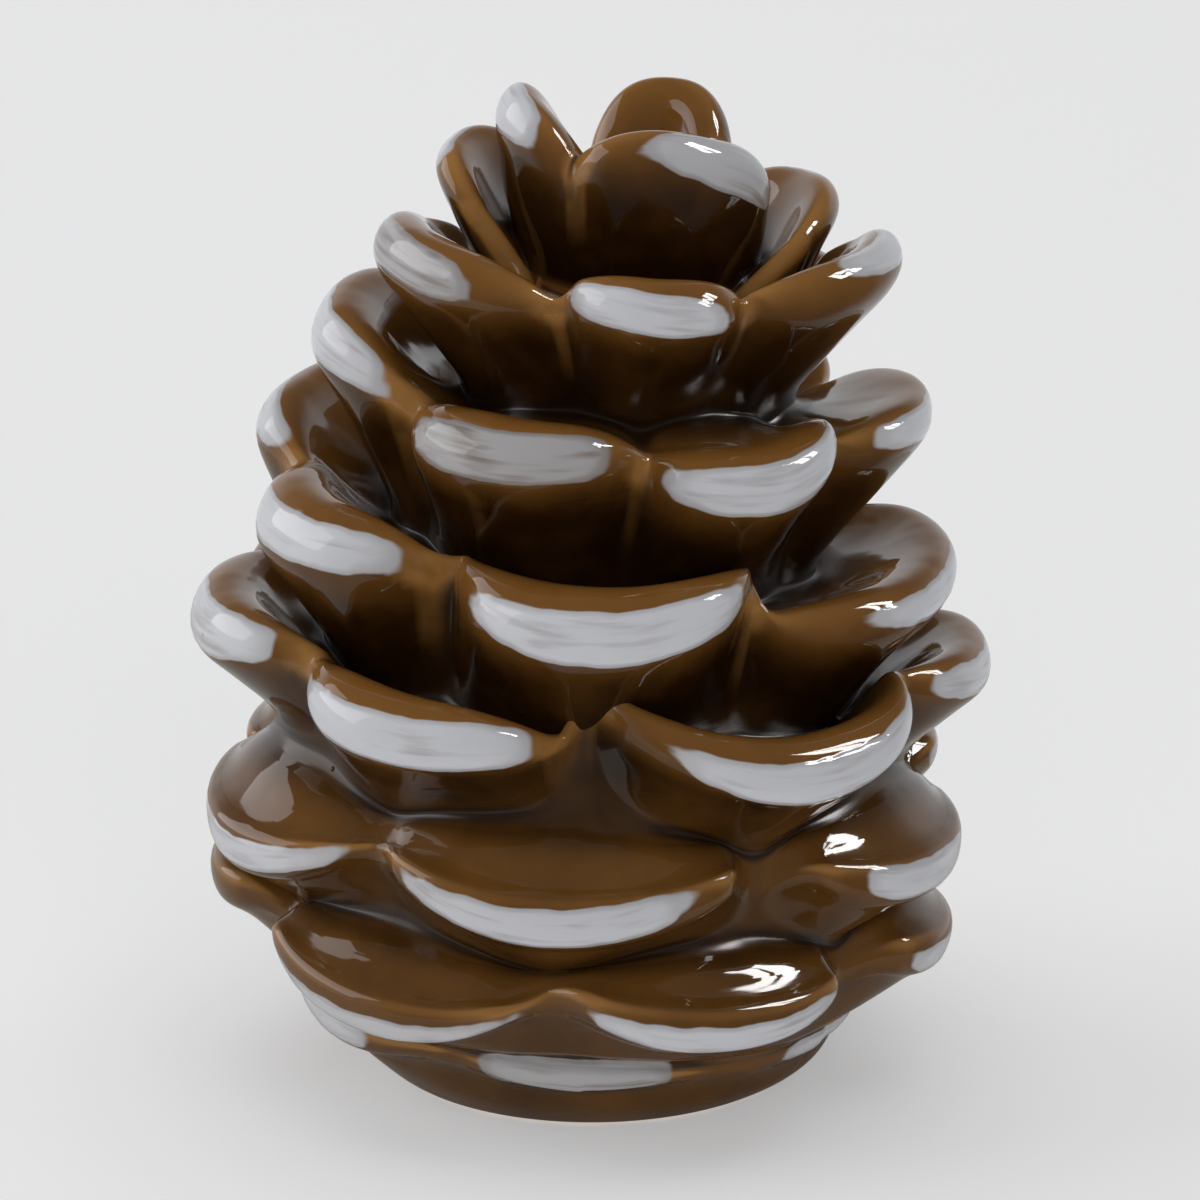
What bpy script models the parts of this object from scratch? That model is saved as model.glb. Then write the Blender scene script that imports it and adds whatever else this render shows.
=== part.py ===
"""A glazed ceramic pine cone ornament: one casting with nine tiers of cupped scales on a flat foot.

Origin at the centre of the foot, +Z up, the photographed front faces -Y. Blender's unit is the metre, and the
dimensions below are in millimetres, turned into metres where the mesh is made.
"""

import math
from collections import namedtuple

import bpy
import numpy as np

MM = 0.001

# Foot, crown and posture
FOOT_RADIUS = 9.3
FOOT_BEVEL = 0.7
CROWN_DIMPLE_RADIUS = 1.5
CROWN_DIMPLE_HEIGHT = 43.4
LEAN = 2.3  # how far the upper tiers stand off the foot's axis, towards +X
LEAN_FROM = 19.0
LEAN_TO = 41.0

# How scales of one tier meet: how far the left end tucks behind the right end of its neighbour, and over how many
# millimetres of reach the two melt together in the notch
TUCK = 0.3
NOTCH_BLEND = 0.3
LIP_BLEND = 0.7  # the same along the lips' lower edges
WALL_BLEND = 1.4  # the same for the scales' undersides and upper faces, where the seams are shallow
GROOVE_SWAY = 0.6  # share of a tier's own slant that the groove under it follows

# Mesh fineness
SEGMENTS = 90

# azimuth: degrees from the front, positive towards +X. half: degrees from a scale's middle to its notches.
# radius, height: the middle of the lip. cup: how far the ends curl up. skew: how far the right end reaches further
# out than the middle, and the left end less far. tilt: how far the right end stands up from the middle.
# thick: how thick the lip is, as a share of the tier's.
Scale = namedtuple("Scale", "azimuth half radius height cup skew tilt thick", defaults=(0.6, 0.0, 0.0, 1.0))

# root: radius and height of the groove under the tier. rise: degrees that the scales point up. face: degrees that
# the lip's outer face looks up. lip: height of that face. roll: how far in the lip's top reaches. crest: how high
# the lip's top stands there, as a share of its height. thin: share of the lip lost at the notches. belly: swelling
# of the underside. dish: sinking of the upper face. wave: how far the groove above the tier comes down at its
# notches. notch: how far the rim draws in between scales. left, right: how suddenly it does so at a scale's two ends.
TIER_MEASURES = "root rise face lip roll crest thin belly dish wave notch left right"
Tier = namedtuple("Tier", f"name {TIER_MEASURES} scales")

TIERS = [
    Tier("hem", (11.4, 1.3), -8, -20, 2.6, 1.0, 0.4, 0.5, 0.3, -0.2, 0.3, 0.8, 2.0, 2.6, [
        Scale(-3, 30, 13.8, 3.6), Scale(58, 30, 13.3, 3.2), Scale(118, 30, 13.3, 3.4), Scale(178, 30, 14.0, 3.6),
        Scale(-122, 30, 14.8, 4.2), Scale(-63, 30, 14.4, 4.0),
    ]),
    Tier("lowest", (14.2, 5.4), -12, -10, 2.8, 0.9, 0.4, 0.9, 0.1, -0.5, 1.5, 2.3, 2.0, 2.3, [
        Scale(-39, 34, 17.8, 7.4, 1.4, 0, -0.5), Scale(21, 34, 17.6, 7.3, 1.6, 0, -0.5),
        Scale(77, 26, 17.4, 7.2, 0.9),
        Scale(126, 26, 17.3, 7.2), Scale(178, 26, 17.3, 7.8), Scale(-132, 24, 17.5, 8.4), Scale(-90, 20, 18.2, 9.6),
    ]),
    Tier("low", (14.4, 10.4), -8, -4, 3.0, 0.9, 0.4, 0.9, 0.1, -0.5, 1.6, 2.7, 2.0, 2.2, [
        Scale(-6, 39, 18.1, 13.4, 1.7), Scale(65, 31, 18.3, 12.4, 1.4), Scale(121, 28, 18.2, 13.6),
        Scale(178, 30, 17.6, 13.5), Scale(-122, 30, 18.0, 14.4), Scale(-68, 29, 18.9, 13.8, 1.3),
    ]),
    Tier("middle", (14.4, 16.8), 24, 14, 3.3, 2.1, 0.6, 0.7, 0.1, 0.4, 0.5, 2.8, 2.3, 3.4, [
        Scale(-31, 24, 19.1, 22.3, 0.9, -0.3, -0.4), Scale(32, 32, 19.1, 20.1, 3.9, 0.5, -0.8, 0.9),
        Scale(84, 23, 18.9, 20.7, 1.7, 0, 0, 0.8), Scale(133, 25, 18.3, 21.0), Scale(183, 25, 18.3, 21.6),
        Scale(-127, 25, 18.5, 23.0), Scale(-81, 25, 19.1, 23.7, 1.2),
    ]),
    Tier("upper_middle", (12.0, 19.8), 34, 20, 3.5, 2.2, 0.65, 0.7, 0.1, 0.5, 0.4, 2.9, 2.3, 3.6, [
        Scale(-2, 32, 16.9, 27.3, 2.9, 0.3), Scale(72, 43, 16.9, 25.6, 2.2, 0.2, 0.3, 0.74),
        Scale(143, 26, 17.0, 27.2), Scale(190, 23, 16.6, 28.4), Scale(-118, 29, 17.9, 31.5, 0.6, 0, 0, 0.8),
        Scale(-66, 27, 17.2, 29.4, 1.4, -0.3),
    ]),
    Tier("upper", (9.2, 25.6), 42, 22, 3.2, 2.1, 0.6, 0.7, 0.1, 0.5, 0.4, 2.6, 2.3, 3.6, [
        Scale(-28, 31, 14.4, 34.7, 1.4), Scale(29, 27, 14.4, 33.2, 2.7, 0.2, 0.4),
        Scale(87, 32, 14.4, 33.0, 1.5, 0, 0, 0.78), Scale(144, 24, 13.9, 32.6), Scale(202, 34, 14.0, 34.4),
        Scale(-94, 30, 14.9, 37.6, 0.7, 0, -0.3),
    ]),
    Tier("high", (6.8, 32.6), 46, 26, 3.0, 2.0, 0.6, 0.7, 0.1, 0.5, 0.4, 2.0, 2.3, 3.6, [
        Scale(-62, 40, 12.7, 42.1, 0.5, -0.2), Scale(3, 25, 12.1, 41.3, 1.1, 0, -0.2),
        Scale(64, 37, 12.4, 41.2, 0.9, 0.3, 0, 0.8), Scale(129, 28, 11.4, 38.0), Scale(187, 30, 11.2, 37.8),
        Scale(-127, 26, 11.4, 38.2),
    ]),
    Tier("under_crown", (6.4, 37.6), 62, 40, 2.0, 1.4, 0.45, 0.5, 0.3, 0.2, 0.2, 2.2, 2.3, 3.6, [
        Scale(-108, 34, 9.3, 45.3, 0.3), Scale(112, 44, 9.4, 43.1, 0.2, -0.5), Scale(-170, 36, 8.4, 43.0),
    ]),
    Tier("crown", (5.5, 40.4), 76, 36, 2.3, 1.6, 0.45, 0.4, 0.5, 0.0, 0.0, 2.3, 2.3, 3.3, [
        Scale(-72, 42, 6.4, 48.4, 0.2, -0.6), Scale(29, 54, 6.5, 47.1, 0.2, -1.8), Scale(154, 54, 4.8, 47.5, 0.2),
    ]),
]


def smoothstep(x, low, high):
    share = np.clip((x - low) / (high - low), 0.0, 1.0)
    return share * share * (3.0 - 2.0 * share)


def directions(degrees):
    """The direction so many degrees above outward, and the one square to it."""
    up = math.radians(degrees)
    return np.array([math.cos(up), math.sin(up)]), np.array([-math.sin(up), math.cos(up)])


def rim_of(tier, azimuth, blend=NOTCH_BLEND):
    """For each azimuth in degrees: how far the rim stands out of the groove along the rise and across it, how near
    the place is to a notch (0 in the middle of a scale, 1 in the notch), and how thick the lip is."""
    along, normal = directions(tier.rise)
    table = np.array([tuple(scale) for scale in tier.scales], float)
    middle, half, radius, height, cup, skew, tilt, thick = table.T
    tips = np.stack([radius, height], axis=1) - np.array(tier.root)
    away = (azimuth[:, None] - middle[None, :] + 180.0) % 360.0 - 180.0
    share = np.clip(away / half, -1.6, 1.6)
    power = np.where(share < 0.0, tier.left, tier.right)
    out = tips @ along + skew * share - tier.notch * np.abs(share) ** power
    weight = np.exp((out - out.max(axis=1, keepdims=True)) / blend)
    weight /= weight.sum(axis=1, keepdims=True)
    across = tips @ normal + cup * share**2 + (tilt - TUCK) * share
    near = np.clip((weight * np.abs(share)).sum(axis=1), 0.0, 1.2)
    lip = tier.lip * (weight * thick).sum(axis=1) * (1.0 - tier.thin * np.clip(near, 0.0, 1.0) ** 2.5)
    return (weight * out).sum(axis=1), (weight * across).sum(axis=1), near, lip


def groove_row(tier, below, azimuth):
    """The groove under a tier, slanted as its own scales are, and coming down between those of the tier below."""
    table = np.array([tuple(scale) for scale in tier.scales], float)
    angle, rise = np.radians(table[:, 0]), table[:, 3] - table[:, 3].mean()
    around = np.radians(azimuth)
    slant = np.mean(rise * np.cos(angle)) * np.cos(around) + np.mean(rise * np.sin(angle)) * np.sin(around)
    height = tier.root[1] + 2.0 * GROOVE_SWAY * slant
    if below:
        height -= below.wave * (rim_of(below, azimuth, WALL_BLEND)[2] ** 2 - 0.35)
    return np.stack([np.full_like(around, tier.root[0]), height], axis=1)


def tier_rows(tier, root, groove_above, azimuth):
    """The tier's control rows, from the groove under it to just before the groove above it, as (radius, height).
    Where a tier has no scale the rows lie on the straight line between the two grooves."""
    along, normal = directions(tier.rise)
    outward, upward = directions(tier.face)
    tips, lips = [], []
    for blend in (NOTCH_BLEND, LIP_BLEND, WALL_BLEND):
        out, across, _, lip = rim_of(tier, azimuth, blend)
        tips.append(np.array(tier.root) + out[:, None] * along + across[:, None] * normal)
        lips.append(lip[:, None])
    (tip, tip_low, wall), (thick, thick_low, thick_wall) = tips, lips
    nose_low = tip_low + 0.1 * thick_low * outward - 0.42 * thick_low * upward
    nose_high = tip + 0.1 * thick * outward + 0.42 * thick * upward
    wall_low = wall - 0.42 * thick_wall * upward
    under = wall_low + 0.22 * (root - wall_low) - 0.25 * tier.belly * normal
    belly = root + 0.45 * (wall_low - root) - tier.belly * normal
    over = tip - tier.roll * thick / tier.lip * outward + tier.crest * thick * upward
    inner = groove_above + 0.5 * (wall + tier.crest * thick_wall * upward - groove_above) - tier.dish * normal
    present = smoothstep(out, 0.0, 1.4)[:, None]
    rows = []
    for place, row in enumerate([root, belly, under, nose_low, nose_high, over, inner]):
        bare = root + (groove_above - root) * place / 7.0
        rows.append(bare + present * (row - bare))
    return rows


def control_rows(azimuth):
    """All control rows from the foot's edge to the edge of the crown's dimple."""
    flat = np.ones((len(azimuth), 1))
    rows = [flat * np.array([FOOT_RADIUS, 0.0]), flat * np.array([FOOT_RADIUS + FOOT_BEVEL, 0.25 * FOOT_BEVEL])]
    dimple = flat * np.array([CROWN_DIMPLE_RADIUS, CROWN_DIMPLE_HEIGHT])
    grooves = [groove_row(tier, below, azimuth) for tier, below in zip(TIERS, [None] + TIERS[:-1])] + [dimple]
    for number, tier in enumerate(TIERS):
        rows += tier_rows(tier, grooves[number], grooves[number + 1], azimuth)
    rows.append(dimple)
    return np.array(rows)


def spline(rows, per_span):
    """A clamped uniform cubic B-spline through the control rows, sampled per_span times between each two."""
    first = 2.0 * rows[0] - rows[1]
    last = 2.0 * rows[-1] - rows[-2]
    points = np.concatenate([first[None], rows, last[None]])
    made = []
    for i in range(len(rows) - 1):
        for step in range(per_span):
            t = step / per_span
            weights = ((1 - t) ** 3, 3 * t**3 - 6 * t**2 + 4, -3 * t**3 + 3 * t**2 + 3 * t + 1, t**3)
            made.append(sum(w * points[i + k] for k, w in enumerate(weights)) / 6.0)
    made.append(rows[-1])
    return np.array(made)


def casting_points(segments, per_span):
    """Ring after ring of points, in millimetres, as an array [ring, segment, xyz]."""
    azimuth = np.arange(segments) * 360.0 / segments
    profile = spline(control_rows(azimuth), per_span)
    radius, height = profile[..., 0], profile[..., 1]
    angle = np.radians(azimuth)[None, :]
    lean = LEAN * smoothstep(height, LEAN_FROM, LEAN_TO)
    return np.stack([radius * np.sin(angle) + lean, -radius * np.cos(angle), height], axis=-1)


def casting_mesh(name, points):
    """One closed mesh: the foot's flat face, the rings, and a fan over the crown's dimple."""
    rings, segments = points.shape[:2]
    crown = points[-1].mean(axis=0)
    vertices = np.concatenate([points.reshape(-1, 3), [crown]]) * MM
    faces = [list(range(segments - 1, -1, -1))]
    for ring in range(rings - 1):
        for j in range(segments):
            k = (j + 1) % segments
            low, high = ring * segments, (ring + 1) * segments
            faces.append([low + j, low + k, high + k, high + j])
    top = (rings - 1) * segments
    for j in range(segments):
        faces.append([top + j, top + (j + 1) % segments, len(vertices) - 1])
    mesh = bpy.data.meshes.new(name)
    mesh.from_pydata(vertices.tolist(), [], faces)
    mesh.update()
    mesh.shade_smooth()
    return mesh


def glaze_material():
    material = bpy.data.materials.new("brown_glaze")
    material.use_nodes = True
    shader = material.node_tree.nodes["Principled BSDF"]
    shader.inputs["Base Color"].default_value = (0.075, 0.032, 0.008, 1.0)
    shader.inputs["Roughness"].default_value = 0.08
    shader.inputs["Metallic"].default_value = 0.0
    return material


def clear_scene():
    for obj in list(bpy.data.objects):
        bpy.data.objects.remove(obj, do_unlink=True)


def main():
    clear_scene()
    mesh = casting_mesh("pine_cone", casting_points(SEGMENTS, 1))
    mesh.materials.append(glaze_material())
    cone = bpy.data.objects.new("pine_cone", mesh)
    bpy.context.scene.collection.objects.link(cone)


main()
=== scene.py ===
"""Looks of a glazed ceramic pine cone ornament that stands on a plain pale table.

The casting is made again from the same measures as its solid, fine enough for glossy reflections. It carries
what its glaze needs to know at each point: where a painted stroke lies, where the glaze runs thin and where
it pools, and where light and shade are painted into its colour.
"""

import math
from collections import namedtuple

import bpy
import numpy as np
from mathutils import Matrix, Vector


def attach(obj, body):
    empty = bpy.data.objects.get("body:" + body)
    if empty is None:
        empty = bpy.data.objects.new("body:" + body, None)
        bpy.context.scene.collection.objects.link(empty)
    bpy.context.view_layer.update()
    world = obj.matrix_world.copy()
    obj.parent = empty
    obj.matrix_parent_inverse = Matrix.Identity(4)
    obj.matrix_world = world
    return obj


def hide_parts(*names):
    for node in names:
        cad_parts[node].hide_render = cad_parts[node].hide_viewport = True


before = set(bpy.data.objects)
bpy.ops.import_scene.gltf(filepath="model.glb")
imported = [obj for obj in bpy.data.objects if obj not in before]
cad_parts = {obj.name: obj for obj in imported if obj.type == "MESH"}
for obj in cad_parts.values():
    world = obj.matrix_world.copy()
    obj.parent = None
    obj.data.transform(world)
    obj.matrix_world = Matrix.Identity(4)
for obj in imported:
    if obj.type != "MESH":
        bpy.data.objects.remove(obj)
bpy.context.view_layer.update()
MM = 0.001

# Foot, crown and posture
FOOT_RADIUS = 9.3
FOOT_BEVEL = 0.7
CROWN_DIMPLE_RADIUS = 1.5
CROWN_DIMPLE_HEIGHT = 43.4
LEAN = 2.3  # how far the upper tiers stand off the foot's axis, towards +X
LEAN_FROM = 19.0
LEAN_TO = 41.0

# How scales of one tier meet: how far the left end tucks behind the right end of its neighbour, and over how
# many millimetres of reach the two melt together in the notch
TUCK = 0.3
NOTCH_BLEND = 0.3
LIP_BLEND = 0.7  # the same along the lips' lower edges
WALL_BLEND = 1.4  # the same for the scales' undersides and upper faces, where the seams are shallow
GROOVE_SWAY = 0.6  # share of a tier's own slant that the groove under it follows
WAVE_LEVEL = 0.35  # about the mean of the waves in a groove, so that they leave its height as it is

# Where a tier's control rows lie
LIP_HALF = 0.42  # above and below the middle of the lip, as a share of its thickness
LIP_NOSE = 0.1  # the same rows, out from the middle of the lip
UNDER_PLACE = 0.22  # share of the way from the lip's lower edge down to the groove
UNDER_SWELL = 0.25  # share of the belly's swelling that is left there
BELLY_PLACE = 0.45  # share of the way from the groove up to the lip's lower edge
SCALE_FADE = 1.4  # mm of reach within which a scale grows out of the bare wall

# Fineness of the casting's surface: points round it, and points between two control rows
SEGMENTS = 304
PER_SPAN = 5
AZIMUTHS = np.arange(SEGMENTS) * 360.0 / SEGMENTS
ROWS_PER_TIER = 7
FOOT_ROWS = 2
LIP_ROW = 3.5  # the middle of a tier's lip lies between its fourth and its fifth row

# azimuth: degrees from the front, positive towards +X. half: degrees from a scale's middle to its notches.
# radius, height: the middle of the lip. cup: how far the ends curl up. skew: how far the right end reaches
# further out than the middle, and the left end less far. tilt: how far the right end stands up from the
# middle. thick: how thick the lip is, as a share of the tier's.
Scale = namedtuple("Scale", "azimuth half radius height cup skew tilt thick", defaults=(0.6, 0.0, 0.0, 1.0))

# root: radius and height of the groove under the tier. rise: degrees that the scales point up. face: degrees
# that the lip's outer face looks up. lip: height of that face. roll: how far in the lip's top reaches. crest:
# how high the lip's top stands there, as a share of its height. thin: share of the lip lost at the notches.
# belly: swelling of the underside. dish: sinking of the upper face. wave: how far the groove above the tier
# comes down at its notches. notch: how far the rim draws in between scales. left, right: how suddenly it does
# so at a scale's two ends.
TIER_MEASURES = "root rise face lip roll crest thin belly dish wave notch left right"
Tier = namedtuple("Tier", f"name {TIER_MEASURES} scales")

TIERS = [
    Tier("hem", (11.4, 1.3), -8, -20, 2.6, 1.0, 0.4, 0.5, 0.3, -0.2, 0.3, 0.8, 2.0, 2.6, [
        Scale(-3, 30, 13.8, 3.6), Scale(58, 30, 13.3, 3.2), Scale(118, 30, 13.3, 3.4),
        Scale(178, 30, 14.0, 3.6), Scale(-122, 30, 14.8, 4.2), Scale(-63, 30, 14.4, 4.0),
    ]),
    Tier("lowest", (14.2, 5.4), -12, -10, 2.8, 0.9, 0.4, 0.9, 0.1, -0.5, 1.5, 2.3, 2.0, 2.3, [
        Scale(-39, 34, 17.8, 7.4, 1.4, 0, -0.5), Scale(21, 34, 17.6, 7.3, 1.6, 0, -0.5),
        Scale(77, 26, 17.4, 7.2, 0.9), Scale(126, 26, 17.3, 7.2), Scale(178, 26, 17.3, 7.8),
        Scale(-132, 24, 17.5, 8.4), Scale(-90, 20, 18.2, 9.6),
    ]),
    Tier("low", (14.4, 10.4), -8, -4, 3.0, 0.9, 0.4, 0.9, 0.1, -0.5, 1.6, 2.7, 2.0, 2.2, [
        Scale(-6, 39, 18.1, 13.4, 1.7), Scale(65, 31, 18.3, 12.4, 1.4), Scale(121, 28, 18.2, 13.6),
        Scale(178, 30, 17.6, 13.5), Scale(-122, 30, 18.0, 14.4), Scale(-68, 29, 18.9, 13.8, 1.3),
    ]),
    Tier("middle", (14.4, 16.8), 24, 14, 3.3, 2.1, 0.6, 0.7, 0.1, 0.4, 0.5, 2.8, 2.3, 3.4, [
        Scale(-31, 24, 19.1, 22.3, 0.9, -0.3, -0.4), Scale(32, 32, 19.1, 20.1, 3.9, 0.5, -0.8, 0.9),
        Scale(84, 23, 18.9, 20.7, 1.7, 0, 0, 0.8), Scale(133, 25, 18.3, 21.0), Scale(183, 25, 18.3, 21.6),
        Scale(-127, 25, 18.5, 23.0), Scale(-81, 25, 19.1, 23.7, 1.2),
    ]),
    Tier("upper_middle", (12.0, 19.8), 34, 20, 3.5, 2.2, 0.65, 0.7, 0.1, 0.5, 0.4, 2.9, 2.3, 3.6, [
        Scale(-2, 32, 16.9, 27.3, 2.9, 0.3), Scale(72, 43, 16.9, 25.6, 2.2, 0.2, 0.3, 0.74),
        Scale(143, 26, 17.0, 27.2), Scale(190, 23, 16.6, 28.4), Scale(-118, 29, 17.9, 31.5, 0.6, 0, 0, 0.8),
        Scale(-66, 27, 17.2, 29.4, 1.4, -0.3),
    ]),
    Tier("upper", (9.2, 25.6), 42, 22, 3.2, 2.1, 0.6, 0.7, 0.1, 0.5, 0.4, 2.6, 2.3, 3.6, [
        Scale(-28, 31, 14.4, 34.7, 1.4), Scale(29, 27, 14.4, 33.2, 2.7, 0.2, 0.4),
        Scale(87, 32, 14.4, 33.0, 1.5, 0, 0, 0.78), Scale(144, 24, 13.9, 32.6), Scale(202, 34, 14.0, 34.4),
        Scale(-94, 30, 14.9, 37.6, 0.7, 0, -0.3),
    ]),
    Tier("high", (6.8, 32.6), 46, 26, 3.0, 2.0, 0.6, 0.7, 0.1, 0.5, 0.4, 2.0, 2.3, 3.6, [
        Scale(-62, 40, 12.7, 42.1, 0.5, -0.2), Scale(3, 25, 12.1, 41.3, 1.1, 0, -0.2),
        Scale(64, 37, 12.4, 41.2, 0.9, 0.3, 0, 0.8), Scale(129, 28, 11.4, 38.0), Scale(187, 30, 11.2, 37.8),
        Scale(-127, 26, 11.4, 38.2),
    ]),
    Tier("under_crown", (6.4, 37.6), 62, 40, 2.0, 1.4, 0.45, 0.5, 0.3, 0.2, 0.2, 2.2, 2.3, 3.6, [
        Scale(-108, 34, 9.3, 45.3, 0.3), Scale(112, 44, 9.4, 43.1, 0.2, -0.5), Scale(-170, 36, 8.4, 43.0),
    ]),
    Tier("crown", (5.5, 40.4), 76, 36, 2.3, 1.6, 0.45, 0.4, 0.5, 0.0, 0.0, 2.3, 2.3, 3.3, [
        Scale(-72, 42, 6.4, 48.4, 0.2, -0.6), Scale(29, 54, 6.5, 47.1, 0.2, -1.8),
        Scale(154, 54, 4.8, 47.5, 0.2),
    ]),
]

# The painted strokes of a tier. start, end: azimuths of a stroke's two ends in degrees. width: mm across the
# middle. lift: how far its middle lies above the middle of the lip, along the surface. smile: how far its
# ends bend up. slope: how far its right end lies higher than its middle. taper: how much thinner its right
# end is than its left (negative: thicker). square: how square its ends are, from 2 for a crescent to over 4
# for a block. faint: the share of the brown that shows through, partly where a thin touch lets it through
# and partly painted shade that darkens some strokes all over.
Stroke = namedtuple("Stroke", "start end width lift smile slope taper square faint",
                    defaults=(2.4, 0.0, 0.2, 0.0, 0.0, 2.7, 0.1))

STROKES = {
    "hem": [
        Stroke(-24, 17, 2.5, 0.0, 0.0, 0.1, 0.0, 4.5, 0.5), Stroke(44, 74, 1.8), Stroke(102, 136, 2.0),
        Stroke(160, 196, 2.0), Stroke(222, 254, 2.0), Stroke(282, 312, 1.8),
    ],
    "lowest": [
        Stroke(-58, -12, 1.5, -0.4, 0.3, 0.0, 0.1, 2.4, 0.25), Stroke(-1, 45, 2.0, -0.3, 0.6, 0.1, 0.0, 2.1),
        Stroke(64, 90, 1.8, -0.2), Stroke(112, 142, 2.0, -0.3), Stroke(162, 195, 2.0, -0.3),
        Stroke(214, 242, 2.0, -0.3),
    ],
    "low": [
        Stroke(-32, 16, 2.3, -0.4, 0.8, 0.1, -0.1, 2.2, 0.15), Stroke(46, 76, 2.0, -0.2, 0.3),
        Stroke(100, 136, 2.3, -0.3), Stroke(160, 196, 2.3, -0.3), Stroke(222, 258, 2.3, -0.3),
        Stroke(-84, -43, 1.8, -0.3, 0.3, 0.0, 0.2),
    ],
    "middle": [
        Stroke(-52, -9, 2.7, -0.2, 0.4, 0.15, -0.15, 2.8), Stroke(12, 58, 2.6, -0.4, 0.7, 0.2, -0.2, 2.1),
        Stroke(68, 98, 2.0, -0.1), Stroke(118, 150, 2.6, 0.1), Stroke(168, 200, 2.6, 0.1),
        Stroke(217, 248, 2.6, 0.1), Stroke(-98, -60, 2.8, 0.1),
    ],
    "upper_middle": [
        Stroke(-25, 25, 2.8, -0.7, 0.4, 0.1, -0.15, 2.3, 0.05),
        Stroke(50, 92, 1.9, -0.4, 0.2, 0.0, -0.2, 2.3),
        Stroke(128, 158, 2.6), Stroke(176, 206, 2.6), Stroke(-129, -92, 2.2, 0.2),
        Stroke(-86, -41, 2.4, -0.5, 0.1, 0.1, -0.1),
    ],
    "upper": [
        Stroke(-47, -3, 2.75, -0.05, 0.1, 0.0, 0.0, 3.0, 0.6),
        Stroke(11, 55, 2.9, -0.25, 0.5, 0.3, -0.1, 2.3),
        Stroke(64, 100, 1.8, 0.0), Stroke(130, 158, 2.4), Stroke(186, 220, 2.5),
        Stroke(-104, -63, 2.8, 0.0, 0.1, -0.2),
    ],
    "high": [
        Stroke(-88, -38, 2.4, -0.3, 0.0, -0.4, -0.1, 2.7, 0.55),
        Stroke(-18, 21, 2.2, -0.6, 0.1, -0.5, -0.05, 2.6),
        Stroke(52, 96, 1.8, 0.4), Stroke(112, 142, 2.2), Stroke(172, 202, 2.2), Stroke(-134, -106, 2.2),
    ],
    "under_crown": [Stroke(-122, -88, 1.8, 0.1), Stroke(104, 128, 1.7, 0.2)],
    "crown": [
        Stroke(-102, -46, 2.7, -0.4, 0.0, 0.0, 0.1), Stroke(2, 67, 3.0, -0.8, -0.3, -0.5, -0.35, 2.2, 0.35),
        Stroke(140, 186, 2.0, -0.9),
    ],
}
OFF_STROKES = -3.0  # mm inside a stroke's outline that stand for nowhere near one
HAIRS_APART = 17.0  # mm per degree of a stroke's azimuth that its hair streaks are shifted along by

WOBBLE = 0.07  # mm that the hand-worked surface stands off the formula
WOBBLE_WAVES = ((11.0, 1.0), (6.5, 0.6), (4.0, 0.3))  # lengths of its waves in mm, and how strong each is
POOL_STEPS = 7  # more steps fill the grooves with more glaze
POOL_PACE = 0.45  # share of a hollow's depth, round the ring and up the profile added up, that a step fills
LEAST_STEP = 0.05  # mm that neighbouring points count as apart at least, where curvature is worked out
STEEPEST_BEND = 3.0  # 1/mm, beyond which an edge or a groove counts as no sharper

# Sizes of the glaze's and the paint's patterns in millimetres, as 10 mm shared out among so many of them
CLOUD = 10.0 / 2.0  # lighter and darker glaze
UNEVENNESS = 10.0 / 7.0  # how the glaze breaks up over seams and at the wiped line over the foot
STROKE_EDGE = 10.0 / 6.5  # waves in a stroke's outline
PAINT_PATCH = 10.0 / 3.0  # thick and thin paint
HAIR_LENGTH = 10.0 / 2.0  # streaks that the brush's hairs leave along a stroke
HAIR_SPACING = 10.0 / 22.0  # the same streaks across it
RIPPLE = 10.0 / 4.2  # slow waves in the glaze
GRAIN_SPACING = 10.0 / 3.3  # cells that each have room for one grain of clay under the glaze
GRAINLESS = 0.65  # share of those cells that have none
GRAIN_REACH = 0.06  # radius of the largest grain, as a share of a cell

# Heights in millimetres
PAINT_HEIGHT = 0.08
RIPPLE_HEIGHT = 0.2
GRAIN_HEIGHT = 0.1
WIPED_WAVE = 0.15  # how far up the line wanders under which the glaze was wiped off the foot


def smoothstep(x, low, high):
    """0 up to low, 1 from high on, and smooth between them."""
    share = np.clip((x - low) / (high - low), 0.0, 1.0)
    return share * share * (3.0 - 2.0 * share)


def band(x, start, full, fade, end):
    """1 between full and fade, 0 before start and after end, and smooth between them."""
    return smoothstep(x, start, full) * (1.0 - smoothstep(x, fade, end))


def directions(degrees):
    """The direction so many degrees above outward, and the one square to it."""
    up = math.radians(degrees)
    return np.array([math.cos(up), math.sin(up)]), np.array([-math.sin(up), math.cos(up)])


def rim_of(tier, azimuth, blend=NOTCH_BLEND):
    """For each azimuth in degrees: how far the rim stands out of the groove along the rise and across it, how
    near the place is to a notch (0 in the middle of a scale, 1 in the notch), and how thick the lip is."""
    along, normal = directions(tier.rise)
    table = np.array([tuple(scale) for scale in tier.scales], float)
    middle, half, radius, height, cup, skew, tilt, thick = table.T
    tips = np.stack([radius, height], axis=1) - np.array(tier.root)
    away = (azimuth[:, None] - middle[None, :] + 180.0) % 360.0 - 180.0
    share = np.clip(away / half, -1.6, 1.6)
    power = np.where(share < 0.0, tier.left, tier.right)
    out = tips @ along + skew * share - tier.notch * np.abs(share) ** power
    weight = np.exp((out - out.max(axis=1, keepdims=True)) / blend)
    weight /= weight.sum(axis=1, keepdims=True)
    across = tips @ normal + cup * share**2 + (tilt - TUCK) * share
    near = np.clip((weight * np.abs(share)).sum(axis=1), 0.0, 1.2)
    lip = tier.lip * (weight * thick).sum(axis=1) * (1.0 - tier.thin * np.clip(near, 0.0, 1.0) ** 2.5)
    return (weight * out).sum(axis=1), (weight * across).sum(axis=1), near, lip


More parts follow.
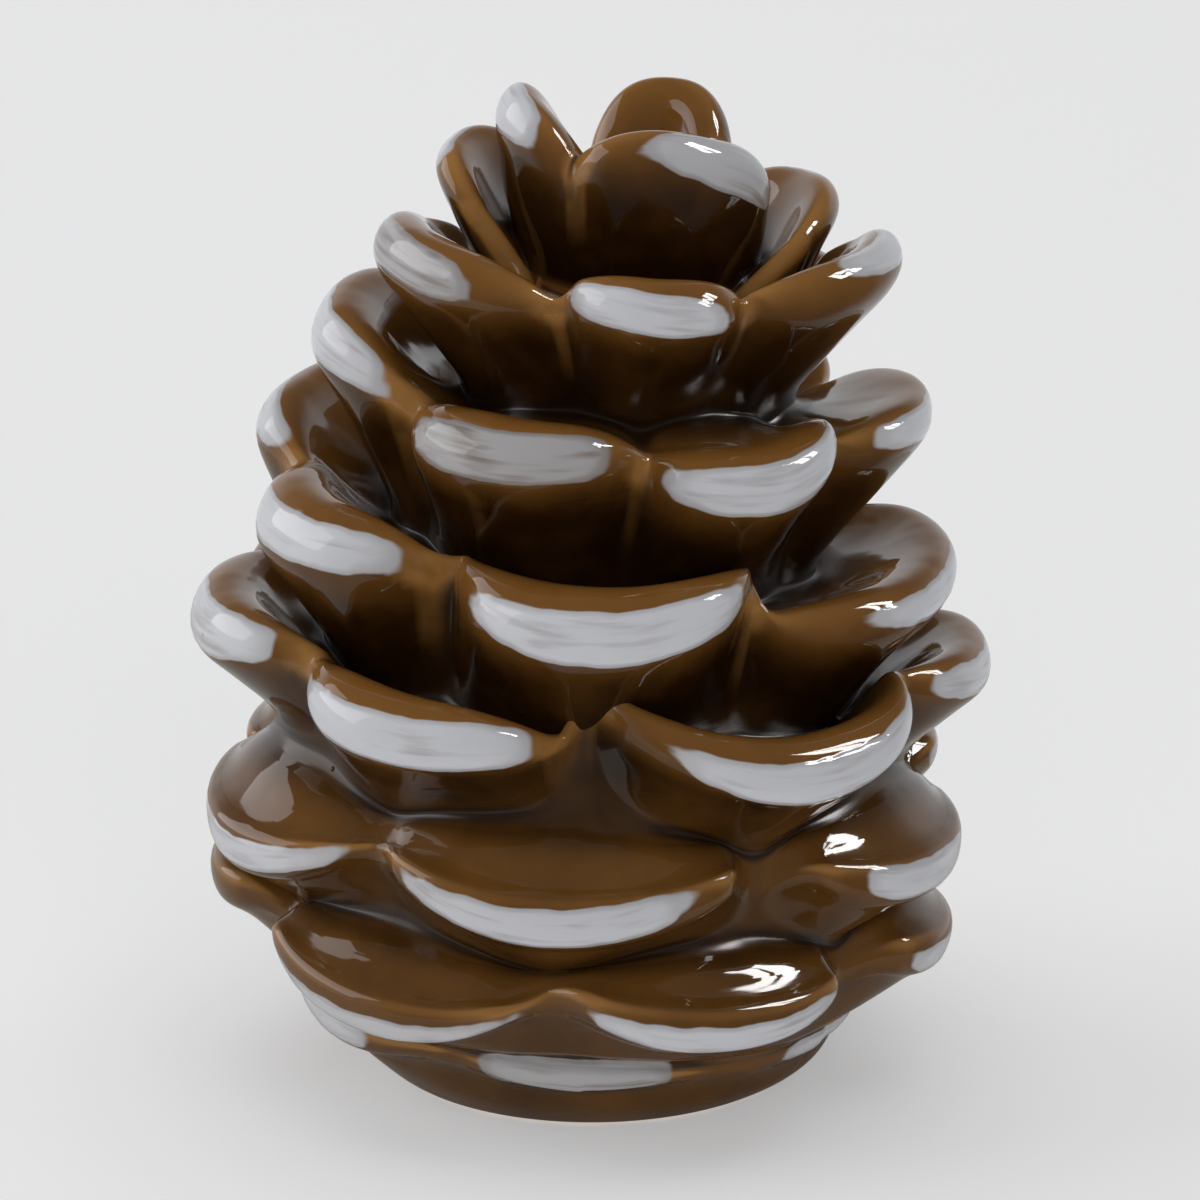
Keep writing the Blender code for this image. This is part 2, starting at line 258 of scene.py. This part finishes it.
def groove_row(tier, below, azimuth):
    """The groove under a tier, slanted as its own scales are, and coming down between those of the tier
    below."""
    table = np.array([tuple(scale) for scale in tier.scales], float)
    angle, rise = np.radians(table[:, 0]), table[:, 3] - table[:, 3].mean()
    around = np.radians(azimuth)
    slant = np.mean(rise * np.cos(angle)) * np.cos(around) + np.mean(rise * np.sin(angle)) * np.sin(around)
    height = tier.root[1] + 2.0 * GROOVE_SWAY * slant
    if below:
        height -= below.wave * (rim_of(below, azimuth, WALL_BLEND)[2] ** 2 - WAVE_LEVEL)
    return np.stack([np.full_like(around, tier.root[0]), height], axis=1)


def tier_rows(tier, root, groove_above, azimuth):
    """The tier's control rows, from the groove under it to just before the groove above it, as (radius,
    height). Where a tier has no scale the rows lie on the straight line between the two grooves."""
    along, normal = directions(tier.rise)
    outward, upward = directions(tier.face)
    tips, lips = [], []
    for blend in (NOTCH_BLEND, LIP_BLEND, WALL_BLEND):
        out, across, _, lip = rim_of(tier, azimuth, blend)
        tips.append(np.array(tier.root) + out[:, None] * along + across[:, None] * normal)
        lips.append(lip[:, None])
    (tip, tip_low, wall), (thick, thick_low, thick_wall) = tips, lips
    nose_low = tip_low + LIP_NOSE * thick_low * outward - LIP_HALF * thick_low * upward
    nose_high = tip + LIP_NOSE * thick * outward + LIP_HALF * thick * upward
    wall_low = wall - LIP_HALF * thick_wall * upward
    under = wall_low + UNDER_PLACE * (root - wall_low) - UNDER_SWELL * tier.belly * normal
    belly = root + BELLY_PLACE * (wall_low - root) - tier.belly * normal
    over = tip - tier.roll * thick / tier.lip * outward + tier.crest * thick * upward
    inner = groove_above + 0.5 * (wall + tier.crest * thick_wall * upward - groove_above) - tier.dish * normal
    present = smoothstep(out, 0.0, SCALE_FADE)[:, None]
    rows = []
    for place, row in enumerate([root, belly, under, nose_low, nose_high, over, inner]):
        bare = root + (groove_above - root) * place / ROWS_PER_TIER
        rows.append(bare + present * (row - bare))
    return rows


def control_rows(azimuth):
    """All control rows from the foot's edge to the edge of the crown's dimple."""
    flat = np.ones((len(azimuth), 1))
    rows = [flat * np.array([FOOT_RADIUS, 0.0]),
            flat * np.array([FOOT_RADIUS + FOOT_BEVEL, 0.25 * FOOT_BEVEL])]
    dimple = flat * np.array([CROWN_DIMPLE_RADIUS, CROWN_DIMPLE_HEIGHT])
    grooves = [groove_row(tier, below, azimuth) for tier, below in zip(TIERS, [None] + TIERS[:-1])] + [dimple]
    for number, tier in enumerate(TIERS):
        rows += tier_rows(tier, grooves[number], grooves[number + 1], azimuth)
    rows.append(dimple)
    return np.array(rows)


def spline(rows, per_span):
    """A clamped uniform cubic B-spline through the control rows, sampled per_span times between each two."""
    first = 2.0 * rows[0] - rows[1]
    last = 2.0 * rows[-1] - rows[-2]
    points = np.concatenate([first[None], rows, last[None]])
    made = []
    for i in range(len(rows) - 1):
        for step in range(per_span):
            t = step / per_span
            weights = ((1 - t) ** 3, 3 * t**3 - 6 * t**2 + 4, -3 * t**3 + 3 * t**2 + 3 * t + 1, t**3)
            made.append(sum(w * points[i + k] for k, w in enumerate(weights)) / 6.0)
    made.append(rows[-1])
    return np.array(made)


def normals_of(points):
    """The direction out of the surface at each point."""
    normal = np.cross(np.roll(points, -1, axis=1) - np.roll(points, 1, axis=1), np.gradient(points, axis=0))
    return normal / np.maximum(np.linalg.norm(normal, axis=-1, keepdims=True), 1e-9)


def hand_worked(points):
    """Moves the points by slow waves a few millimetres long, as pressed and sponged clay has, and leaves the
    foot flat."""
    rng = np.random.default_rng(7)
    moved = np.zeros_like(points)
    for length, size in WOBBLE_WAVES:
        for axis in range(3):
            for _ in range(3):
                direction = rng.normal(size=3)
                direction *= 2.0 * math.pi / length / np.linalg.norm(direction)
                moved[..., axis] += size * np.sin(points @ direction + rng.uniform(0.0, 2.0 * math.pi)) / 3.0
    return points + WOBBLE * moved * smoothstep(points[..., 2:3], 0.3, 3.0)


def pool_glaze(points):
    """Rounds the grooves as the glaze does that gathers in them, and leaves edges as they are."""
    for _ in range(POOL_STEPS):
        around = 0.5 * (np.roll(points, -1, axis=1) + np.roll(points, 1, axis=1)) - points
        up = np.zeros_like(points)
        up[1:-1] = 0.5 * (points[2:] + points[:-2]) - points[1:-1]
        normal = normals_of(points)
        lift = np.clip(((around + up) * normal).sum(axis=-1, keepdims=True), 0.0, None)
        points = points + POOL_PACE * lift * normal * smoothstep(points[..., 2:3], 0.3, 2.0)
    return points


def casting_points():
    """Ring after ring of points in millimetres, as an array [ring, segment, xyz]."""
    profile = spline(control_rows(AZIMUTHS), PER_SPAN)
    radius, height = profile[..., 0], profile[..., 1]
    angle = np.radians(AZIMUTHS)[None, :]
    lean = LEAN * smoothstep(height, LEAN_FROM, LEAN_TO)
    points = np.stack([radius * np.sin(angle) + lean, -radius * np.cos(angle), height], axis=-1)
    return hand_worked(pool_glaze(points))


def tier_rings(number, rings):
    """A tier's first ring, and the ring after its last."""
    first = (FOOT_ROWS + ROWS_PER_TIER * number) * PER_SPAN
    return first, min(first + ROWS_PER_TIER * PER_SPAN, rings)


def stroke_fields(points):
    """For each point: millimetres inside the nearest stroke's outline (negative outside), its place along and
    across that stroke in millimetres, and how much brown shows through the stroke, partly thin paint and
    partly painted shade."""
    inside = np.full(points.shape[:2], OFF_STROKES)
    along = np.zeros(points.shape[:2])
    across = np.zeros(points.shape[:2])
    faint = np.zeros(points.shape[:2])
    step = np.linalg.norm(np.diff(points, axis=0), axis=-1)
    travelled = np.concatenate([np.zeros((1, SEGMENTS)), np.cumsum(step, axis=0)])
    for number, tier in enumerate(TIERS):
        first, last = tier_rings(number, points.shape[0])
        region = (slice(first, last), slice(None))
        middle = int(round((FOOT_ROWS + ROWS_PER_TIER * number + LIP_ROW) * PER_SPAN))
        up = travelled[first:last] - travelled[middle]
        rim = points[middle]
        chord = np.linalg.norm(np.roll(rim, -1, axis=0) - rim, axis=-1)
        for stroke in STROKES[tier.name]:
            centre = 0.5 * (stroke.start + stroke.end)
            half = 0.5 * (stroke.end - stroke.start)
            away = (AZIMUTHS - centre + 180.0) % 360.0 - 180.0
            order = np.argsort(away)
            run = np.empty(SEGMENTS)
            run[order] = np.cumsum(chord[order])
            run -= np.interp(0.0, away[order], run[order])
            length = np.interp(half, away[order], run[order])
            share = run / length
            narrow = 0.5 * stroke.width * (1.0 - stroke.taper * np.clip(share, -1.2, 1.2))
            near = np.clip(share, -1.5, 1.5)
            bend = stroke.lift + stroke.smile * (near**2 - 0.3) + stroke.slope * near
            offset = up - bend[None, :]
            square = stroke.square
            size = (np.abs(share)[None, :] ** square + np.abs(offset / narrow) ** square) ** (1.0 / square)
            depth = (1.0 - size) * narrow
            nearer = depth > inside[region]
            inside[region] = np.where(nearer, depth, inside[region])
            along[region] = np.where(nearer, run[None, :] + HAIRS_APART * centre, along[region])
            across[region] = np.where(nearer, offset, across[region])
            faint[region] = np.where(nearer, stroke.faint, faint[region])
    return inside, along, across, faint


def bend_of_surface(points):
    """Curvature at each point in 1/mm, positive on edges and negative in grooves, a little smoothed."""
    normal = normals_of(points)
    total = np.zeros(points.shape[:2])
    for axis in (0, 1):
        ahead = np.roll(points, -1, axis=axis) - points
        behind = np.roll(points, 1, axis=axis) - points
        a = np.maximum(np.linalg.norm(ahead, axis=-1), LEAST_STEP)
        b = np.maximum(np.linalg.norm(behind, axis=-1), LEAST_STEP)
        second = 2.0 * (ahead / a[..., None] + behind / b[..., None]) / (a + b)[..., None]
        total -= (second * normal).sum(axis=-1)
    total[:2] = 0.0
    total[-2:] = 0.0
    total = np.clip(total, -STEEPEST_BEND, STEEPEST_BEND)
    for _ in range(2):
        for axis in (0, 1):
            total = (np.roll(total, 1, axis) + 2 * total + np.roll(total, -1, axis)) / 4
    return total


def tier_fields(points):
    """Two shares for each point: how near it is to the line where two scales of a tier grow together, and how
    light its brown is painted. That is painted light and shade from above, partly also thin glaze over the
    lips:
    darker on the high walls under the lips, lighter over lips and upper faces. It is also lighter all round
    low on the cone."""
    seam = np.zeros(points.shape[:2])
    thin = np.zeros(points.shape[:2])
    for number, tier in enumerate(TIERS):
        first, last = tier_rings(number, points.shape[0])
        near = rim_of(tier, AZIMUTHS)[2]
        place = (np.arange(first, last) - first) / (last - first)
        reach = band(place, 0.1, 0.3, 0.6, 0.8)
        lip = band(place, 0.32, 0.42, 0.58, 0.72)
        worn = smoothstep(near[None, :], 0.96 - 0.12 * lip[:, None], 1.0)
        if tier.rise > 0.0:
            seam[first:last] = reach[:, None] * worn * (0.6 + 1.3 * lip[:, None])
        # Painted light from above: the brown is lighter where a tier's profile faces up, over the lip and
        # upper face
        open_to_sky = band(place, 0.22, 0.6, 0.78, 0.98)
        thin[first:last] = open_to_sky[:, None] * (0.65 if tier.rise < 0.0 else 1.0)
    low_down = 1.0 - smoothstep(points[..., 2], 14.0, 22.0)
    return seam, np.maximum(thin, 0.35 * low_down)


def casting_mesh(name, points):
    """One closed mesh: the foot's flat face, the rings, and a fan over the crown's dimple."""
    rings = points.shape[0]
    corner = np.arange(rings * SEGMENTS).reshape(rings, SEGMENTS)
    beside = np.roll(corner, -1, axis=1)
    quads = np.stack([corner[:-1], beside[:-1], beside[1:], corner[1:]], axis=-1).reshape(-1, 4)
    centre = rings * SEGMENTS
    fan = np.stack([corner[-1], beside[-1], np.full(SEGMENTS, centre)], axis=-1)
    vertices = np.concatenate([points.reshape(-1, 3), [points[-1].mean(axis=0)]]) * MM
    mesh = bpy.data.meshes.new(name)
    mesh.from_pydata(vertices.tolist(), [], [corner[0][::-1].tolist()] + quads.tolist() + fan.tolist())
    mesh.update()
    mesh.shade_smooth()
    mesh.polygons[0].use_smooth = False
    return mesh


def put_field(mesh, name, values):
    """Stores one number for each point of the casting, for its glaze to read."""
    field = mesh.attributes.new(name, "FLOAT", "POINT")
    flat = values.ravel()
    field.data.foreach_set("value", np.append(flat, flat[-SEGMENTS:].mean()).astype(np.float32))


def linear(hex_colour):
    """An sRGB hex value as linear red, green, blue and alpha."""
    made = []
    for i in (1, 3, 5):
        c = int(hex_colour[i : i + 2], 16) / 255.0
        made.append(c / 12.92 if c <= 0.04045 else ((c + 0.055) / 1.055) ** 2.4)
    return (*made, 1.0)


def repeats(size):
    """How often a pattern of so many millimetres repeats in a metre, which is what a texture's scale is."""
    return 1.0 / (size * MM)


def add(tree, kind, links=(), **settings):
    """Adds a node. Settings with a plain name are the node's own; those like in_0 or in_Scale fill its
    inputs. links pairs an input's name or number with the output that feeds it."""
    node = tree.nodes.new(kind)
    for key, value in settings.items():
        if key.startswith("in_"):
            place = key[3:].replace("_", " ")
            node.inputs[int(place) if place.isdigit() else place].default_value = value
        else:
            setattr(node, key, value)
    for place, source in dict(links).items():
        tree.links.new(source, node.inputs[place])
    return node


def glaze_colour(tree, place, bend, uneven):
    """Brown, lighter and darker in clouds, painted lighter over lips and upper faces as light from above,
    partly also thin glaze there, amber where the glaze wears thin over edges and seams, and painted nearly
    black in grooves as shade, where the glaze also pools."""
    # The brown is painted lighter over lips and upper faces as light from above, partly also thin glaze there
    thin_and_lit_here = add(tree, "ShaderNodeAttribute", attribute_name="thin_glaze_and_painted_light").outputs["Fac"]
    seam = add(tree, "ShaderNodeAttribute", attribute_name="seam").outputs["Fac"]
    cloud = add(tree, "ShaderNodeTexNoise", {"Vector": place}, in_Scale=repeats(CLOUD), in_Detail=3.0,
                in_Roughness=0.55)
    run = add(tree, "ShaderNodeMath", {0: cloud.outputs["Fac"], 2: thin_and_lit_here}, operation="MULTIPLY_ADD",
              in_1=0.8)
    light_brown_share = add(tree, "ShaderNodeMapRange", {"Value": run.outputs[0]}, in_From_Min=0.37, in_From_Max=1.45)
    body = add(tree, "ShaderNodeMix", {"Factor": light_brown_share.outputs["Result"]}, data_type="RGBA",
               in_6=linear("#231204"), in_7=linear("#825727"))
    edge = add(tree, "ShaderNodeMapRange", {"Value": bend}, in_From_Min=0.75, in_From_Max=1.9, in_To_Max=0.85,
               interpolation_type="SMOOTHSTEP")
    seam_worn = add(tree, "ShaderNodeMath", {0: seam, 1: uneven}, operation="MULTIPLY")
    worn = add(tree, "ShaderNodeMath", {0: edge.outputs["Result"], 1: seam_worn.outputs[0]},
               operation="MAXIMUM")
    amber = add(tree, "ShaderNodeMix", {"Factor": worn.outputs[0], 6: body.outputs[2]}, data_type="RGBA",
                in_7=linear("#a4753f"))
    # Painted shade: the brown goes nearly black in grooves, over the glaze that pools there
    groove = add(tree, "ShaderNodeMapRange", {"Value": bend}, in_From_Min=-0.25, in_From_Max=-1.4,
                 in_To_Max=0.8, interpolation_type="SMOOTHSTEP")
    glaze = add(tree, "ShaderNodeMix", {"Factor": groove.outputs["Result"], 6: amber.outputs[2]},
                data_type="RGBA", in_7=linear("#1c0e03"))
    return glaze.outputs[2]


def paint_colour(tree, place, ragged):
    """Underglaze put on with one touch of a loaded brush for each stroke. It is patchy, streaked by the
    brush's hairs, and lets the brown through where it is thin, as at a stroke's rim. Some strokes are also
    darkened all over towards the brown as painted shade."""
    along = add(tree, "ShaderNodeAttribute", attribute_name="stroke_along").outputs["Fac"]
    across = add(tree, "ShaderNodeAttribute", attribute_name="stroke_across").outputs["Fac"]
    faint = add(tree, "ShaderNodeAttribute", attribute_name="stroke_faint").outputs["Fac"]
    hair_along = add(tree, "ShaderNodeMath", {0: along}, operation="MULTIPLY", in_1=1.0 / HAIR_LENGTH)
    hair_across = add(tree, "ShaderNodeMath", {0: across}, operation="MULTIPLY", in_1=1.0 / HAIR_SPACING)
    hair_place = add(tree, "ShaderNodeCombineXYZ", {"X": hair_along.outputs[0], "Y": hair_across.outputs[0]})
    hairs = add(tree, "ShaderNodeTexNoise", {"Vector": hair_place.outputs[0]}, in_Scale=1.0, in_Detail=2.0,
                in_Roughness=0.5)
    patches = add(tree, "ShaderNodeTexNoise", {"Vector": place}, in_Scale=repeats(PAINT_PATCH), in_Detail=1.0)
    load = add(tree, "ShaderNodeMath", {0: patches.outputs["Fac"], 2: hairs.outputs["Fac"]},
               operation="MULTIPLY_ADD", in_1=0.7)
    bare_spots = add(tree, "ShaderNodeMapRange", {"Value": load.outputs[0]}, in_From_Min=0.82,
                     in_From_Max=1.2, in_To_Max=0.45, interpolation_type="SMOOTHSTEP")
    rim = add(tree, "ShaderNodeMapRange", {"Value": ragged}, in_From_Min=0.5, in_From_Max=0.2, in_To_Max=0.28,
              interpolation_type="SMOOTHSTEP")
    scant = add(tree, "ShaderNodeMath", {0: bare_spots.outputs["Result"], 1: rim.outputs["Result"]},
                operation="MAXIMUM")
    # Some strokes are darkened all over towards the brown: partly thin paint, partly painted shade
    veil = add(tree, "ShaderNodeMath", {0: scant.outputs[0], 1: faint}, operation="ADD", use_clamp=True)
    paint = add(tree, "ShaderNodeMix", {"Factor": veil.outputs[0]}, data_type="RGBA",
                in_6=linear("#d9dadf"), in_7=linear("#887e78"))
    return paint.outputs[2]


def glaze_relief(tree, place, bend, ragged):
    """The paint stands a little proud, the glaze lies in slow ripples that settle in hollows, and here and
    there a grain stands in it, up to 0.36 mm across and 0.1 mm high, which its pin-prick highlights come
    from."""
    proud = add(tree, "ShaderNodeMapRange", {"Value": ragged}, in_From_Min=0.1, in_From_Max=0.45,
                interpolation_type="SMOOTHSTEP")
    relief = add(tree, "ShaderNodeBump", {"Height": proud.outputs["Result"]}, in_Strength=1.0,
                 in_Distance=PAINT_HEIGHT * MM)
    noise = add(tree, "ShaderNodeTexNoise", {"Vector": place}, in_Scale=repeats(RIPPLE), in_Detail=1.0)
    open_glaze = add(tree, "ShaderNodeMapRange", {"Value": bend}, in_From_Min=-0.25, in_From_Max=0.05,
                     in_To_Min=0.1)
    ripple = add(tree, "ShaderNodeMath", {0: noise.outputs["Fac"], 1: open_glaze.outputs["Result"]},
                 operation="MULTIPLY")
    waves = add(tree, "ShaderNodeBump", {"Height": ripple.outputs[0], "Normal": relief.outputs[0]},
                in_Strength=0.25, in_Distance=RIPPLE_HEIGHT * MM)
    grains = add(tree, "ShaderNodeTexVoronoi", {"Vector": place}, in_Scale=repeats(GRAIN_SPACING))
    grain_size = add(tree, "ShaderNodeSeparateColor", {0: grains.outputs["Color"]}).outputs[0]
    reach = add(tree, "ShaderNodeMapRange", {"Value": grain_size}, in_From_Min=GRAINLESS,
                in_To_Min=0.0, in_To_Max=GRAIN_REACH)
    grain = add(tree, "ShaderNodeMapRange", {"Value": grains.outputs["Distance"], 2: reach.outputs["Result"]},
                in_From_Min=0.0, in_To_Min=1.0, in_To_Max=0.0, interpolation_type="SMOOTHSTEP")
    pricks = add(tree, "ShaderNodeBump", {"Height": grain.outputs["Result"], "Normal": waves.outputs[0]},
                 in_Strength=1.0, in_Distance=GRAIN_HEIGHT * MM)
    return pricks.outputs[0]


def glazed_stoneware():
    """Glazed stoneware: transparent brown glaze poured over a fired casting, with brushed underglaze strokes.
    The glaze is glassy and smooth, shows amber where it runs thin over edges, and is a little duller where it
    pools in grooves. Painted shade makes it nearly black in grooves and darkens some strokes, and painted
    light from above makes its brown lighter over lips and upper faces."""
    material = bpy.data.materials.new("brown_glazed_stoneware")
    material.use_nodes = True
    tree = material.node_tree
    shader = tree.nodes["Principled BSDF"]
    place = add(tree, "ShaderNodeTexCoord").outputs["Object"]
    bend = add(tree, "ShaderNodeAttribute", attribute_name="surface_bend").outputs["Fac"]
    inside = add(tree, "ShaderNodeAttribute", attribute_name="stroke_depth").outputs["Fac"]
    uneven = add(tree, "ShaderNodeTexNoise", {"Vector": place}, in_Scale=repeats(UNEVENNESS),
                 in_Detail=2.0).outputs["Fac"]
    edge_waves = add(tree, "ShaderNodeTexNoise", {"Vector": place}, in_Scale=repeats(STROKE_EDGE),
                     in_Detail=1.0).outputs["Fac"]
    ragged = add(tree, "ShaderNodeMath", {0: edge_waves, 2: inside}, operation="MULTIPLY_ADD",
                 in_1=0.3).outputs[0]
    cover = add(tree, "ShaderNodeMapRange", {"Value": ragged}, in_From_Min=0.12, in_From_Max=0.22,
                interpolation_type="SMOOTHSTEP").outputs["Result"]
    brown = glaze_colour(tree, place, bend, uneven)
    paint = paint_colour(tree, place, ragged)
    painted = add(tree, "ShaderNodeMix", {"Factor": cover, 6: brown, 7: paint}, data_type="RGBA")

    # Bare clay under the foot and up to a wavy line just above it, where the glaze was wiped off for firing
    height = add(tree, "ShaderNodeSeparateXYZ", {0: place}).outputs["Z"]
    wiped = add(tree, "ShaderNodeMath", {0: uneven, 2: height}, operation="MULTIPLY_ADD",
                in_1=-WIPED_WAVE * MM)
    bare = add(tree, "ShaderNodeMapRange", {"Value": wiped.outputs[0]}, in_From_Min=0.02 * MM,
               in_From_Max=-0.04 * MM).outputs["Result"]
    colour = add(tree, "ShaderNodeMix", {"Factor": bare, 6: painted.outputs[2]}, data_type="RGBA",
                 in_7=linear("#c9b598"))
    dull = add(tree, "ShaderNodeMapRange", {"Value": bend}, in_From_Min=-0.05, in_From_Max=-0.6,
               in_To_Min=0.045, in_To_Max=0.27)
    rough = add(tree, "ShaderNodeMapRange", {"Value": bare, 3: dull.outputs["Result"]}, in_To_Max=0.8)
    tree.links.new(colour.outputs[2], shader.inputs["Base Color"])
    tree.links.new(rough.outputs["Result"], shader.inputs["Roughness"])
    tree.links.new(glaze_relief(tree, place, bend, ragged), shader.inputs["Normal"])
    shader.inputs["IOR"].default_value = 1.52
    shader.inputs["Metallic"].default_value = 0.0
    return material


def table_material(name, colour, glow):
    """Matt white acrylic: the plain pale top of a light table, lit a little from below so that shadows stay
    faint."""
    material = bpy.data.materials.new(name)
    material.use_nodes = True
    shader = material.node_tree.nodes["Principled BSDF"]
    shader.inputs["Base Color"].default_value = linear(colour)
    shader.inputs["Roughness"].default_value = 0.7
    shader.inputs["Specular IOR Level"].default_value = 0.0
    shader.inputs["Emission Color"].default_value = linear("#ffffff")
    shader.inputs["Emission Strength"].default_value = glow
    return material


def set_table():
    """The table top with a swept-up back edge, so that no horizon shows. The glaze mirrors only the part of
    it near the ornament, so the top itself stays out of reflections and a disc that shows in nothing else
    stands in."""
    side, front, depth, rise, turn = 1.5, 0.5, 0.9, 0.5, 0.35
    below_foot = -0.0001
    profile = [(-front, below_foot), (depth, below_foot)]
    for a in np.linspace(0.1, math.pi / 2, 16):
        profile.append((depth + turn * math.sin(a), turn * (1 - math.cos(a))))
    profile.append((depth + turn, rise))
    vertices = [(x, y, z) for y, z in profile for x in (-side, side)]
    faces = [(2 * i, 2 * i + 1, 2 * i + 3, 2 * i + 2) for i in range(len(profile) - 1)]
    mesh = bpy.data.meshes.new("table")
    mesh.from_pydata(vertices, [], faces)
    mesh.shade_smooth()
    mesh.materials.append(table_material("white_acrylic_table", "#d2d2d3", 0.34))
    table = bpy.data.objects.new("table", mesh)
    bpy.context.scene.collection.objects.link(table)
    table.visible_glossy = False
    bpy.ops.mesh.primitive_circle_add(vertices=96, radius=0.07, fill_type="NGON",
                                      location=(-0.03, 0.025, 0.0))
    near_part = bpy.context.object
    near_part.name = "near_part_of_table"
    near_part.data.materials.append(table_material("white_acrylic_in_reflections", "#cfcfca", 0.0))
    near_part.visible_camera = False
    near_part.visible_diffuse = False
    near_part.visible_shadow = False


def softbox(name, place, width, height, power, glossy=True, diffuse=True):
    """A rectangular studio light aimed at the middle of the ornament."""
    light = bpy.data.lights.new(name, "AREA")
    light.shape = "RECTANGLE"
    light.size = width
    light.size_y = height
    light.energy = power
    lamp = bpy.data.objects.new(name, light)
    lamp.location = place
    lamp.rotation_euler = (Vector((0, 0, 0.025)) - Vector(place)).to_track_quat("-Z", "Y").to_euler()
    lamp.visible_camera = False
    lamp.visible_glossy = glossy
    lamp.visible_diffuse = diffuse
    bpy.context.scene.collection.objects.link(lamp)


def light_studio():
    """Two panes of a window high at the right, which only reflections show, a wide pale screen at the left,
    a soft light overhead and a weak one in front. The room is pale behind the ornament at the left and dim
    behind the camera, so that the front of the glaze stays dark and its left flanks carry pale
    reflections."""
    softbox("window_near_pane", (0.58, -0.075, 0.56), 0.10, 0.30, 1.9, diffuse=False)
    softbox("window_far_pane", (0.58, 0.055, 0.56), 0.10, 0.30, 1.9, diffuse=False)
    softbox("left_screen", (-0.75, 0.15, 0.35), 0.9, 0.5, 2.3)
    softbox("overhead", (0.05, 0.1, 1.1), 1.3, 1.3, 6.0, glossy=False)
    softbox("front_fill", (0.1, -0.9, 0.45), 1.0, 0.6, 2.7, glossy=False)
    world = bpy.data.worlds.new("room")
    bpy.context.scene.world = world
    world.use_nodes = True
    tree = world.node_tree
    direction = add(tree, "ShaderNodeTexCoord").outputs["Generated"]
    facing = add(tree, "ShaderNodeVectorMath", {0: direction}, operation="DOT_PRODUCT",
                 in_1=(-0.42, 0.9, 0.0))
    behind = add(tree, "ShaderNodeMapRange", {"Value": facing.outputs["Value"]}, in_From_Min=-0.25,
                 in_From_Max=0.4, interpolation_type="SMOOTHSTEP")
    height = add(tree, "ShaderNodeSeparateXYZ", {0: direction}).outputs["Z"]
    low = add(tree, "ShaderNodeMapRange", {"Value": height}, in_From_Min=0.6, in_From_Max=0.25,
              interpolation_type="SMOOTHSTEP")
    wall = add(tree, "ShaderNodeMath", {0: behind.outputs["Result"], 1: low.outputs["Result"]},
               operation="MULTIPLY")
    level = add(tree, "ShaderNodeMapRange", {"Value": wall.outputs[0]}, in_To_Min=0.12, in_To_Max=0.75)
    background = tree.nodes["Background"]
    background.inputs["Color"].default_value = linear("#f6f8fb")
    tree.links.new(level.outputs["Result"], background.inputs["Strength"])


def set_camera():
    """A long lens 0.4 m away, 18 degrees above level, looking at the front."""
    distance = 0.4
    elevation = math.radians(18.0)
    target = Vector((0.00043, 0.0, 0.0232))
    camera = bpy.data.objects.new("camera", bpy.data.cameras.new("camera"))
    camera.data.lens = 250.0
    camera.data.sensor_width = 36.0
    camera.data.clip_start = 0.01
    camera.location = target + distance * Vector((0.0, -math.cos(elevation), math.sin(elevation)))
    camera.rotation_euler = (target - camera.location).to_track_quat("-Z", "Y").to_euler()
    bpy.context.scene.collection.objects.link(camera)
    bpy.context.scene.camera = camera


def make_cone():
    """The glazed casting, in the place of its plain solid."""
    points = casting_points()
    mesh = casting_mesh("glazed_cone", points)
    inside, along, across, faint = stroke_fields(points)
    put_field(mesh, "stroke_depth", inside)
    put_field(mesh, "stroke_along", along)
    put_field(mesh, "stroke_across", across)
    # How much brown shows through each stroke: partly thin paint, partly painted shade
    put_field(mesh, "stroke_faint", faint)
    put_field(mesh, "surface_bend", bend_of_surface(points))
    seam, thin = tier_fields(points)
    put_field(mesh, "seam", seam)
    # Where the brown is painted lighter as light from above, partly thin glaze
    put_field(mesh, "thin_glaze_and_painted_light", thin)
    mesh.materials.append(glazed_stoneware())
    cone = bpy.data.objects.new("glazed_cone", mesh)
    bpy.context.scene.collection.objects.link(cone)
    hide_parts("pine_cone")
    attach(cone, "root")


make_cone()
set_table()
light_studio()
set_camera()
bpy.context.scene.view_settings.view_transform = "Standard"

bpy.context.view_layer.update()
